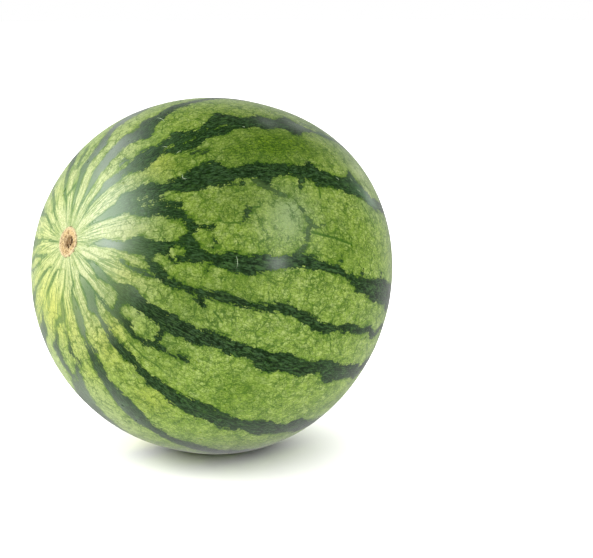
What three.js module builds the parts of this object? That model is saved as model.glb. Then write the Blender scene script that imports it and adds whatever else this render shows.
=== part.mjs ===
// A whole round watermelon, as picked, lying on the small flat spot that it rests on.
//
// Millimetres and degrees, +Z up. z = 0 is the surface the fruit lies on, and the origin is under
// the middle of its box. The fruit's own axis lies over the X axis and rises towards -X, where the
// blossom end is, so that the stem end faces +X and a little down.
//
// The fruit grew as one piece, so it is one closed solid: a full, slightly flattened ovoid that is
// fatter towards the stem, a little out of round, with a corky blossom scar at one end and a dimple
// with a corky stem scar at the other.

import * as THREE from "three";
import { mergeVertices } from "three/addons/utils/BufferGeometryUtils.js";

const { clamp, degToRad, lerp, smoothstep } = THREE.MathUtils;

// Driving dimensions of the ovoid.
const BLOSSOM_HALF = 114; // from the girth to the blossom end
const STEM_HALF = 110.1; // from the girth to the stem end
const DIAMETER = 232.2; // across, at the girth
const FULLNESS = 2.15; // exponent of the outline: 2 is an ellipse, and more is squarer
const STEM_SWELL = 0.033; // share by which the stem end is fatter, and the blossom end slimmer

// How far out of round the fruit is, where it is widest, and where its swellings lie.
const LOBES = [
  { count: 2, swell: 0.0108, towards: 120 },
  { count: 3, swell: 0.0143, towards: 71 },
];

// How it lies.
const AXIS_RISE = 16.2; // the blossom end's lift above the level
const FLAT_DEPTH = 3.5; // how far the flat spot cuts into the ovoid
const FLAT_EASE = 0.7; // height over which the flat spot runs into the round skin

// The blossom scar: a thin corky disc in a slight hollow, with a low rim.
const BLOSSOM_HOLLOW = { radius: 15, depth: 0.9 };
const BLOSSOM_RIM = { radius: 8.6, width: 1.3, height: 0.5 };

// The stem scar: a low corky button on the floor of a dimple.
const STEM_DIMPLE = { radius: 17, depth: 3.4 };
const STEM_BUTTON = { radius: 5.6, edge: 1.8, height: 1.5 };

// Faces of the ovoid: meridians round it, and rings along it, drawn together towards its ends.
const MERIDIANS = 72;
const RINGS = 50;
const RINGS_DRAWN_TO_ENDS = 0.88;

// Height of a smooth mound, or depth of a smooth hollow, at this distance from its middle.
function mound(distance, width, height) {
  return height * Math.exp(-((distance / width) ** 2));
}

// How far the skin at the blossom end stands out of the plain ovoid, this far from the axis.
function blossomRelief(radius) {
  const rim = mound(radius - BLOSSOM_RIM.radius, BLOSSOM_RIM.width, BLOSSOM_RIM.height);
  return rim - mound(radius, BLOSSOM_HOLLOW.radius, BLOSSOM_HOLLOW.depth);
}

// The same at the stem end.
function stemRelief(radius) {
  const { radius: top, edge, height } = STEM_BUTTON;
  const button = height * (1 - smoothstep(radius, top - edge / 2, top + edge / 2));
  return button - mound(radius, STEM_DIMPLE.radius, STEM_DIMPLE.depth);
}

// The outline at this polar angle from the blossom end: distance from the axis, and place along it.
function outline(polar) {
  const across = Math.abs(Math.sin(polar)) ** (2 / FULLNESS);
  const along = Math.abs(Math.cos(polar)) ** (2 / FULLNESS);
  const radius = (DIAMETER / 2) * across * (1 - STEM_SWELL * Math.cos(polar));
  return Math.cos(polar) > 0
    ? new THREE.Vector2(radius, BLOSSOM_HALF * along + blossomRelief(radius))
    : new THREE.Vector2(radius, -STEM_HALF * along - stemRelief(radius));
}

// Points of the outline from the stem end up to the blossom end, closer together near the ends.
function outlinePoints() {
  const points = [];
  for (let ring = 0; ring <= RINGS; ring += 1) {
    const share = ring / RINGS;
    const drawn = (RINGS_DRAWN_TO_ENDS * Math.sin(2 * Math.PI * share)) / (2 * Math.PI);
    points.push(outline(Math.PI * (1 - share + drawn)));
  }
  points[0].x = 0;
  points[RINGS].x = 0;
  return points;
}

// Presses a height up to the flat spot's level, easing into the round skin around it.
function pressFlat(height, level) {
  const share = clamp(0.5 + (height - level) / (2 * FLAT_EASE), 0, 1);
  return lerp(level, height, share) + FLAT_EASE * share * (1 - share);
}

// The share by which the fruit is out of round at its girth, at this angle round its axis.
function outOfRound(around) {
  return LOBES.reduce(
    (sum, lobe) => sum + lobe.swell * Math.cos(lobe.count * (around - degToRad(lobe.towards))),
    0,
  );
}

// The fruit's skin as a closed surface, lying as it rests.
function skin() {
  const geometry = new THREE.LatheGeometry(outlinePoints(), MERIDIANS);
  const blossomwards = new THREE.Vector3(-1, 0, 0).applyAxisAngle(
    new THREE.Vector3(0, 1, 0),
    degToRad(AXIS_RISE),
  );
  const sideways = new THREE.Vector3(0, 1, 0);
  const upwards = sideways.clone().cross(blossomwards);
  const position = geometry.getAttribute("position");
  const point = new THREE.Vector3();
  for (let i = 0; i < position.count; i += 1) {
    point.fromBufferAttribute(position, i); // the lathe turns about Y, from +Z towards +X
    const around = Math.atan2(point.x, point.z);
    const fromAxis = Math.hypot(point.x, point.z);
    const girth = (fromAxis / (DIAMETER / 2)) ** 2;
    const radius = fromAxis * (1 + girth * outOfRound(around));
    const along = point.y;
    point.copy(blossomwards).multiplyScalar(along);
    point.addScaledVector(upwards, radius * Math.cos(around));
    point.addScaledVector(sideways, radius * Math.sin(around));
    position.setXYZ(i, point.x, point.y, point.z);
  }
  geometry.computeBoundingBox();
  const level = geometry.boundingBox.min.z + FLAT_DEPTH;
  for (let i = 0; i < position.count; i += 1) {
    position.setZ(i, pressFlat(position.getZ(i), level));
  }
  geometry.computeBoundingBox();
  const middle = geometry.boundingBox.getCenter(new THREE.Vector3());
  geometry.translate(-middle.x, -middle.y, -level);
  geometry.deleteAttribute("normal");
  geometry.deleteAttribute("uv");
  return mergeVertices(geometry);
}

const rind = new THREE.MeshStandardMaterial({ color: 0x6f9a4a, roughness: 0.42, metalness: 0 });
const watermelon = new THREE.Mesh(skin(), rind);
watermelon.name = "watermelon";

const part = new THREE.Group();
part.add(watermelon);
export default part;
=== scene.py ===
"""Dresses a whole striped watermelon, lying on its side with the blossom end a little up.

The fruit is one piece: a fine skin that Geometry Nodes raise from the same sizes as its solid, a
pattern of dark stripes laid on it in degrees round and along the fruit, and one rind finish.

Metres, +Z up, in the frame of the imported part. On the skin, "polar" is the angle from the blossom
end (0) to the stem end (180), and "around" is the angle round the fruit's own axis, which is 0 on
top and 90 at +Y. Its "chart" is a unit ball with z towards the blossom end.
"""

import logging
import math
from collections.abc import Callable, Iterable
from dataclasses import dataclass
from enum import Enum
from functools import partial

import bpy
import numpy as np
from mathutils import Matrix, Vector, noise
from mathutils.bvhtree import BVHTree
from mathutils.kdtree import KDTree


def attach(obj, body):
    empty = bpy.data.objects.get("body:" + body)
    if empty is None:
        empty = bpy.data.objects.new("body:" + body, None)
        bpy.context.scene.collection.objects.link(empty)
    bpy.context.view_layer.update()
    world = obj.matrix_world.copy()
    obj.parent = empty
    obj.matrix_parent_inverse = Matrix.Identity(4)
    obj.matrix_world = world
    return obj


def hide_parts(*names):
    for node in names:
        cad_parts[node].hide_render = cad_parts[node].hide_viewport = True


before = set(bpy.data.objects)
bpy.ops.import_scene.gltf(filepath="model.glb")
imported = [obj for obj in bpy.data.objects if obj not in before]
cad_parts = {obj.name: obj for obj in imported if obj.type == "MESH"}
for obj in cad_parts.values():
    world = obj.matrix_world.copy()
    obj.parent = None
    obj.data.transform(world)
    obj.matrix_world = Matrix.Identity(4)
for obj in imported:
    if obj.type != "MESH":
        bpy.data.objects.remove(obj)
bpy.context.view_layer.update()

log = logging.getLogger("watermelon")

NODE = "watermelon"
MILLIMETRE = 0.001

Socket = bpy.types.NodeSocket
Sockets = bpy.types.bpy_prop_collection  # a node's outputs, by name
Value = Socket | bpy.types.ID | str | float | tuple[float, ...]
Add = Callable[..., Socket]  # add_node, with its tree given
Triple = tuple[float, float, float]

# Type names of the nodes that are used most.
MATH = "ShaderNodeMath"
VECTOR = "ShaderNodeVectorMath"
SEPARATE = "ShaderNodeSeparateXYZ"
COMBINE = "ShaderNodeCombineXYZ"
MAP_RANGE = "ShaderNodeMapRange"
MIX = "ShaderNodeMix"
NOISE = "ShaderNodeTexNoise"

SQUARE_TO_Z = (1, 1, 0)  # times a place: on the chart, Z is the fruit's own axis


# ---------- Small tools ----------


def linear(colour: str) -> tuple[float, float, float, float]:
    """Turns an sRGB hex colour into linear RGBA.

    Args:
        colour: six hex digits, such as "7f9a3c".

    Returns:
        The linear red, green, blue and an alpha of one.
    """
    channels = [int(colour[i : i + 2], 16) / 255 for i in (0, 2, 4)]
    turned = [c / 12.92 if c <= 0.04045 else ((c + 0.055) / 1.055) ** 2.4 for c in channels]
    return (*turned, 1.0)


def add_node(
    tree: bpy.types.NodeTree,
    kind: str,
    *values: Value,
    named: dict[str, Value] | None = None,
    **settings: str | bool,
) -> Socket | None:
    """Adds one node to a tree, with its settings, values and links.

    Args:
        tree: the node tree.
        kind: the node's type name.
        *values: a value or another node's output for each input in use, in the node's order.
        named: the same for inputs by their names, where some before them are left as they are.
        **settings: the node's own properties.

    Returns:
        The first output in use, if the node has one.
    """
    node = tree.nodes.new(kind)
    for name, value in settings.items():
        setattr(node, name, value)
    given = [*zip((socket for socket in node.inputs if socket.enabled), values)]
    given += [(node.inputs[name], value) for name, value in (named or {}).items()]
    for socket, value in given:
        if isinstance(value, Socket):
            tree.links.new(value, socket)
        else:
            socket.default_value = value
    return next((socket for socket in node.outputs if socket.enabled), None)


def beside_axis(add: Add, outward: Socket, across: Value, along: Value) -> Socket:
    """Adds what gives the place this far from the fruit's own axis and this far along it.

    Args:
        add: adds a node to the tree.
        outward: the unit vector away from the axis.
        across: the distance from the axis.
        along: the distance along the axis, towards the blossom end.

    Returns:
        The place.
    """
    side = add(VECTOR, outward, across, operation="SCALE")
    return add(VECTOR, side, add(COMBINE, named={"Z": along}), operation="ADD")


def new_material(name: str) -> tuple[bpy.types.Material, Add]:
    """Makes a material without nodes.

    Args:
        name: the material's name.

    Returns:
        The material, and what adds a node to it.
    """
    material = bpy.data.materials.new(name)
    material.use_nodes = True
    material.node_tree.nodes.clear()
    return material, partial(add_node, material.node_tree)


def add_object(name: str, data: bpy.types.ID) -> bpy.types.Object:
    """Adds an object to the scene, at the origin.

    Args:
        name: its name.
        data: its mesh, light or camera.

    Returns:
        The object.
    """
    made = bpy.data.objects.new(name, data)
    bpy.context.scene.collection.objects.link(made)
    return made


def add_mesh(
    name: str,
    points: Iterable[Vector | Triple],
    faces: list[tuple[int, ...]],
    material: bpy.types.Material,
) -> bpy.types.Object:
    """Adds a smooth-shaded mesh object at the origin.

    Args:
        name: the object's name.
        points: its points, in metres.
        faces: the points of each face, anticlockwise from outside.
        material: what every face wears.

    Returns:
        The object.
    """
    mesh = bpy.data.meshes.new(name)
    mesh.from_pydata([tuple(point) for point in points], [], faces)
    mesh.shade_smooth()
    mesh.materials.append(material)
    return add_object(name, mesh)


# ---------- The skin ----------


@dataclass(frozen=True)
class Ovoid:
    """The sizes of the fruit's solid, as the CAD source gives them, in metres and radians.

    The field names are also the names of the Geometry Nodes inputs.
    """

    blossom_half: float = 0.114
    stem_half: float = 0.1101
    diameter: float = 0.2322
    fullness: float = 2.15
    stem_swell: float = 0.033
    two_lobe_swell: float = 0.0108
    two_lobe_towards: float = math.radians(120)
    three_lobe_swell: float = 0.0143
    three_lobe_towards: float = math.radians(71)
    axis_rise: float = math.radians(16.2)
    flat_depth: float = 0.0035
    flat_ease: float = 0.0007
    hollow_radius: float = 0.015
    hollow_depth: float = 0.0009
    rim_radius: float = 0.0086
    rim_width: float = 0.0013
    rim_height: float = 0.0005
    dimple_radius: float = 0.017
    dimple_depth: float = 0.0034
    button_radius: float = 0.0056
    button_edge: float = 0.0018
    button_height: float = 0.0015


@dataclass(frozen=True)
class SkinMesh:
    """How finely the skin is divided, and the slight unevenness of a grown rind, in metres.

    Attributes:
        points_a_side: points along each side of the six grids that make the ball.
        draw_in: share by which the points near both ends are drawn to them.
        draw_in_reach: the angle from an end at which this has mostly faded.
        inset: share by which the skin is smaller than the solid, so that it stays in its box.
        wave_size: usual width of the unevenness.
        wave_height: its depth, at most.
        seed: where in the noise it is taken from.
    """

    points_a_side: int = 127
    draw_in: float = 0.5
    draw_in_reach: float = math.radians(11)
    inset: float = 0.0009
    wave_size: float = 0.028
    wave_height: float = 0.00045
    seed: int = 7


class Skin:
    """Builds the fruit's skin with Geometry Nodes and turns it into a plain mesh."""

    def __init__(self, ovoid: Ovoid, fineness: SkinMesh) -> None:
        """Keeps the sizes of the ovoid and of its mesh, by name."""
        self.sizes = {**vars(ovoid), **vars(fineness)}

    def build(self, name: str, material: bpy.types.Material) -> bpy.types.Object:
        """Builds the skin.

        Args:
            name: the finished object's name.
            material: what the tree sets on every face.

        Returns:
            A plain mesh object at the origin, with the point attribute "chart".
        """
        tree = self._tree(material)
        skin = add_object(name, bpy.data.meshes.new(name))
        modifier = skin.modifiers.new("skin", "NODES")
        modifier.node_group = tree
        for item in tree.interface.items_tree:
            if item.name in self.sizes:
                modifier[item.identifier] = self.sizes[item.name]
        evaluated = skin.evaluated_get(bpy.context.evaluated_depsgraph_get())
        mesh = bpy.data.meshes.new_from_object(evaluated)
        skin.modifiers.remove(modifier)
        skin.data = mesh
        mesh.name = name
        mesh.materials.clear()
        mesh.materials.append(material)
        mesh.polygons.foreach_set("material_index", np.zeros(len(mesh.polygons), np.int32))
        return skin

    def _tree(self, material: bpy.types.Material) -> bpy.types.NodeTree:
        """Makes the tree: a gridded ball, shaped by the outline's formula, lying as it rests.

        Args:
            material: what the tree sets on every face.

        Returns:
            The tree, with an input for each of the sizes.
        """
        tree = bpy.data.node_groups.new("melon_skin", "GeometryNodeTree")
        tree.interface.new_socket("Geometry", in_out="OUTPUT", socket_type="NodeSocketGeometry")
        for name, value in self.sizes.items():
            kind = "NodeSocketInt" if isinstance(value, int) else "NodeSocketFloat"
            tree.interface.new_socket(name, in_out="INPUT", socket_type=kind)
        add = partial(add_node, tree)
        size = add("NodeGroupInput").node.outputs
        ball, chart = self._ball(add, size)
        lying = self._lying(add, size, chart)
        shaped = add("GeometryNodeSetPosition", named={"Geometry": ball, "Position": lying})
        smooth = add("GeometryNodeSetShadeSmooth", self._rested(add, size, shaped))
        real = add("GeometryNodeRealizeInstances", smooth)
        dressed = add("GeometryNodeSetMaterial", named={"Geometry": real, "Material": material})
        add("NodeGroupOutput", dressed)
        return tree

    def _ball(self, add: Add, size: Sockets) -> tuple[Socket, Socket]:
        """Makes an evenly gridded unit ball, finer at both ends, and stores its places as "chart".

        Args:
            add: adds a node to the tree.
            size: the group's inputs.

        Returns:
            The geometry, and the place on the unit ball.
        """
        grid = {f"Vertices {axis}": size["points_a_side"] for axis in "XYZ"}
        cube = add("GeometryNodeMeshCube", named={"Size": (2, 2, 2), **grid})
        place = add("GeometryNodeInputPosition")
        angle = add(VECTOR, place, math.pi / 4, operation="SCALE")
        even = add(VECTOR, angle, operation="TANGENT")
        unit = add(VECTOR, even, operation="NORMALIZE")
        polar = add(MATH, add(SEPARATE, unit).node.outputs["Z"], operation="ARCCOSINE")
        drawn = polar
        for end, sign in ((0.0, -1.0), (math.pi, 1.0)):
            gap = add(MATH, polar, end, operation="SUBTRACT")
            pull = self._mound(add, gap, size["draw_in_reach"], size["draw_in"])
            move = add(MATH, pull, add(MATH, gap, operation="ABSOLUTE"), operation="MULTIPLY")
            drawn = add(MATH, move, sign, drawn, operation="MULTIPLY_ADD")
        level = add(VECTOR, unit, SQUARE_TO_Z, operation="MULTIPLY")
        outward = add(VECTOR, level, operation="NORMALIZE")
        sine, cosine = (add(MATH, drawn, operation=name) for name in ("SINE", "COSINE"))
        chart = beside_axis(add, outward, sine, cosine)
        held = add(
            "GeometryNodeStoreNamedAttribute",
            named={"Geometry": cube, "Name": "chart", "Value": chart},
            data_type="FLOAT_VECTOR",
            domain="POINT",
        )
        return held, add("GeometryNodeInputNamedAttribute", "chart", data_type="FLOAT_VECTOR")

    def _mound(self, add: Add, distance: Socket, width: Socket, height: Socket) -> Socket:
        """Adds a smooth mound.

        Args:
            add: adds a node to the tree.
            distance: how far a place is from the mound's middle.
            width: the distance at which it has mostly faded.
            height: its height in the middle.

        Returns:
            Its height at the place.
        """
        share = add(MATH, distance, width, operation="DIVIDE")
        square = add(MATH, share, share, operation="MULTIPLY")
        minus = add(MATH, square, -1.0, operation="MULTIPLY")
        fall = add(MATH, minus, operation="EXPONENT")
        return add(MATH, fall, height, operation="MULTIPLY")

    def _lying(self, add: Add, size: Sockets, chart: Socket) -> Socket:
        """Turns a place on the unit ball into its place on the ovoid, tilted as it lies.

        Args:
            add: adds a node to the tree.
            size: the group's inputs.
            chart: the place on the unit ball.

        Returns:
            The position, before the flat spot is pressed.
        """
        xyz = add(SEPARATE, chart).node.outputs
        cosine = xyz["Z"]
        level = add(VECTOR, chart, SQUARE_TO_Z, operation="MULTIPLY")
        outward = add(VECTOR, level, operation="NORMALIZE")
        sine = add(VECTOR, level, operation="LENGTH")
        power = add(MATH, 2.0, size["fullness"], operation="DIVIDE")
        across = add(MATH, sine, power, operation="POWER")
        along = add(MATH, add(MATH, cosine, operation="ABSOLUTE"), power, operation="POWER")
        swell = add(MATH, cosine, size["stem_swell"], operation="MULTIPLY")
        slim = add(MATH, 1.0, swell, operation="SUBTRACT")
        half = add(MATH, size["diameter"], 0.5, operation="MULTIPLY")
        girth = add(MATH, across, slim, operation="MULTIPLY")
        radius = add(MATH, girth, half, operation="MULTIPLY")
        around = add(MATH, xyz["Y"], xyz["X"], operation="ARCTAN2")
        lobes = 0.0
        for count, lobe in ((2.0, "two_lobe"), (3.0, "three_lobe")):
            turn = add(MATH, around, size[lobe + "_towards"], operation="SUBTRACT")
            turns = add(MATH, turn, count, operation="MULTIPLY")
            wave = add(MATH, turns, operation="COSINE")
            lobes = add(MATH, wave, size[lobe + "_swell"], lobes, operation="MULTIPLY_ADD")
        weight = add(MATH, girth, girth, operation="MULTIPLY")
        grown = add(MATH, weight, lobes, 1.0, operation="MULTIPLY_ADD")
        from_axis = add(MATH, radius, grown, operation="MULTIPLY")
        axial = self._axial(add, size, radius, cosine, along)
        upright = beside_axis(add, outward, from_axis, axial)
        uneven = self._uneven(add, size, chart, upright)
        lean = add(MATH, size["axis_rise"], math.pi / 2, operation="SUBTRACT")
        turned = {"Vector": uneven, "Angle": lean}
        return add("ShaderNodeVectorRotate", named=turned, rotation_type="Y_AXIS")

    def _axial(
        self, add: Add, size: Sockets, radius: Socket, cosine: Socket, along: Socket
    ) -> Socket:
        """Gives the place along the axis, with the rim, hollow, dimple and button of the ends.

        Args:
            add: adds a node to the tree.
            size: the group's inputs.
            radius: the distance from the axis.
            cosine: of the polar angle.
            along: the share of the way from the girth to the end.

        Returns:
            The distance along the axis, towards the blossom end.
        """
        from_rim = add(MATH, radius, size["rim_radius"], operation="SUBTRACT")
        rim = self._mound(add, from_rim, size["rim_width"], size["rim_height"])
        hollow = self._mound(add, radius, size["hollow_radius"], size["hollow_depth"])
        dimple = self._mound(add, radius, size["dimple_radius"], size["dimple_depth"])
        half_edge = add(MATH, size["button_edge"], 0.5, operation="MULTIPLY")
        inner, outer = (
            add(MATH, size["button_radius"], half_edge, operation=name)
            for name in ("SUBTRACT", "ADD")
        )
        fading = (radius, inner, outer, size["button_height"], 0.0)
        button = add(MAP_RANGE, *fading, interpolation_type="SMOOTHSTEP")
        ends = []
        for reach, raised, sunk in (("blossom_half", rim, hollow), ("stem_half", button, dimple)):
            plain = add(MATH, size[reach], along, raised, operation="MULTIPLY_ADD")
            ends.append(add(MATH, plain, sunk, operation="SUBTRACT"))
        blossom_side = add(MATH, cosine, 0.0, operation="GREATER_THAN")
        stem_side = add(MATH, ends[1], -1.0, operation="MULTIPLY")
        return add(MIX, blossom_side, stem_side, ends[0])

    def _uneven(self, add: Add, size: Sockets, chart: Socket, place: Socket) -> Socket:
        """Draws the skin in by the slight, wide unevenness of a rind that grew.

        Args:
            add: adds a node to the tree.
            size: the group's inputs.
            chart: the place on the unit ball.
            place: the place on the ovoid.

        Returns:
            The place on the uneven skin.
        """
        often = add(MATH, 1.0, size["wave_size"], operation="DIVIDE")
        waves = {"Vector": place, "W": size["seed"], "Scale": often, "Detail": 1.0}
        wave = add(NOISE, named=waves, noise_dimensions="4D")
        depth = add(MATH, wave, size["wave_height"], operation="MULTIPLY")
        drop = add(VECTOR, chart, depth, operation="SCALE")
        return add(VECTOR, place, drop, operation="SUBTRACT")

    def _rested(self, add: Add, size: Sockets, shaped: Socket) -> Socket:
        """Presses the flat spot and sets the fruit down on it, over the frame's origin.

        Args:
            add: adds a node to the tree.
            size: the group's inputs.
            shaped: the ovoid's geometry.

        Returns:
            The geometry at its place in the frame.
        """
        place = add("GeometryNodeInputPosition")
        box = add("GeometryNodeBoundBox", shaped).node.outputs
        height, lowest = (add(SEPARATE, spot).node.outputs["Z"] for spot in (place, box["Min"]))
        level = add(MATH, lowest, size["flat_depth"], operation="ADD")
        over = add(MATH, height, level, operation="SUBTRACT")
        twice = add(MATH, size["flat_ease"], 2.0, operation="MULTIPLY")
        ratio = add(MATH, over, twice, operation="DIVIDE")
        share = add(MATH, ratio, 0.5, operation="ADD", use_clamp=True)
        rest = add(MATH, 1.0, share, operation="SUBTRACT")
        bend = add(MATH, share, rest, operation="MULTIPLY")
        eased = add(MATH, bend, size["flat_ease"], operation="MULTIPLY")
        pressed = add(MATH, over, share, eased, operation="MULTIPLY_ADD")
        ends = add(VECTOR, box["Min"], box["Max"], operation="ADD")
        middle = add(VECTOR, ends, 0.5, operation="SCALE")
        centred = add(VECTOR, place, middle, operation="SUBTRACT")
        flat = add(VECTOR, centred, SQUARE_TO_Z, operation="MULTIPLY")
        stood = add(VECTOR, flat, add(COMBINE, named={"Z": pressed}), operation="ADD")
        kept = add(MATH, 1.0, size["inset"], operation="SUBTRACT")
        inside = add(VECTOR, stood, kept, operation="SCALE")
        return add("GeometryNodeSetPosition", named={"Geometry": shaped, "Position": inside})


# ---------- Places on the skin ----------


def chart_spot(polar: float, around: float) -> Vector:
    """The place on the unit ball of an angle from the blossom end and one round the fruit.

    Args:
        polar: degrees from the blossom end.
        around: degrees round the fruit.

    Returns:
        A unit vector.
    """
    p, a = math.radians(polar), math.radians(around)
    return Vector((math.sin(p) * math.cos(a), math.sin(p) * math.sin(a), math.cos(p)))


def chart_of(skin: bpy.types.Object) -> np.ndarray:
    """Reads the stored places on the unit ball.

    Args:
        skin: the skin, with its "chart".

    Returns:
        One row for each point.
    """
    chart = np.empty(len(skin.data.vertices) * 3, np.float32)
    skin.data.attributes["chart"].data.foreach_get("vector", chart)
    chart = chart.reshape(-1, 3).astype(float)
    return chart / np.linalg.norm(chart, axis=1, keepdims=True)


def add_attribute(made: bpy.types.Object, name: str, values: Iterable[float]) -> None:
    """Stores a number for each point of a mesh object.

    Args:
        made: the object.
        name: the attribute's name.
        values: the numbers, in the order of the points.
    """
    attribute = made.data.attributes.new(name, "FLOAT", "POINT")
    attribute.data.foreach_set("value", np.asarray(values, np.float32))


class SkinPlaces:
    """Finds a place given in degrees on the finished skin, and the way out of the skin there."""

    NEIGHBOURS = 9  # points of the skin that say how it slopes near a place
    FLATNESS = 0.02  # share below which the neighbours' spread counts as none

    def __init__(self, skin: bpy.types.Object) -> None:
        """Sorts the skin's points by their places on the unit ball."""
        self.chart = chart_of(skin)
        self.points = np.array([vertex.co for vertex in skin.data.vertices])
        self.sorted = KDTree(len(self.points))
        for number, spot in enumerate(self.chart):
            self.sorted.insert(spot, number)
        self.sorted.balance()
        faces = [tuple(face.vertices) for face in skin.data.polygons]
        self.surface = BVHTree.FromPolygons(self.points.tolist(), faces)

    def at(self, polar: float, around: float) -> tuple[Vector, Vector]:
        """Finds one place.

        Args:
            polar: degrees from the blossom end.
            around: degrees round the fruit.

        Returns:
            The place on the skin, and the unit vector out of it.
        """
        spot = chart_spot(polar, around)
        near = [number for _, number, _ in self.sorted.find_n(spot, self.NEIGHBOURS)]
        first = near[0]
        turns = self.chart[near] - self.chart[first]
        steps = self.points[near] - self.points[first]
        slope = np.linalg.lstsq(turns, steps, rcond=self.FLATNESS)[0]
        guess = self.points[first] + (np.array(spot) - self.chart[first]) @ slope
        place, out, _, _ = self.surface.find_nearest(guess)
        return place, out


# ---------- The stripes and washes ----------


@dataclass(frozen=True)
class Stripe:
    """One dark stripe that runs from the blossom end to the stem.

    Attributes:
        name: what the stripe is called in the log.
        edges: places along it, each as polar, around of one edge, and around of the other edge.
        home: the angle round the fruit at which it reaches the stem end.
        width: its usual width past the last of those places, in degrees round the fruit.
        strength: how dark it is, where 1 is darkest.
    """

    name: str
    edges: tuple[Triple, ...]
    home: float
    width: float
    strength: float = 1.0


@dataclass(frozen=True)
class Mark:
    """A thin branch, link, blotch or dash.

    Attributes:
        places: points along it, each as polar, around, and width in millimetres.
        strength: how dark it is, where 1 is darkest.
    """

    places: tuple[Triple, ...]
    strength: float = 1.0


class Tint(Enum):
    """What a wash does to the ground colour, and the name of the attribute that holds it."""

    # the rind's deep green, and painted shadow low on the near side
    DEEP = "deep"
    # greyer, paler ground: mostly painted sheen, and the real pale spot under the fruit
    PALE = "pale"
    # cream ground, which is partly painted sheen and painted light
    CREAM = "cream"
    YELLOW = "yellow"


@dataclass(frozen=True)
class Wash:
    """A soft-edged patch of the ground, with its radius in millimetres."""

    polar: float
    around: float
    radius: float
    amount: float


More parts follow.
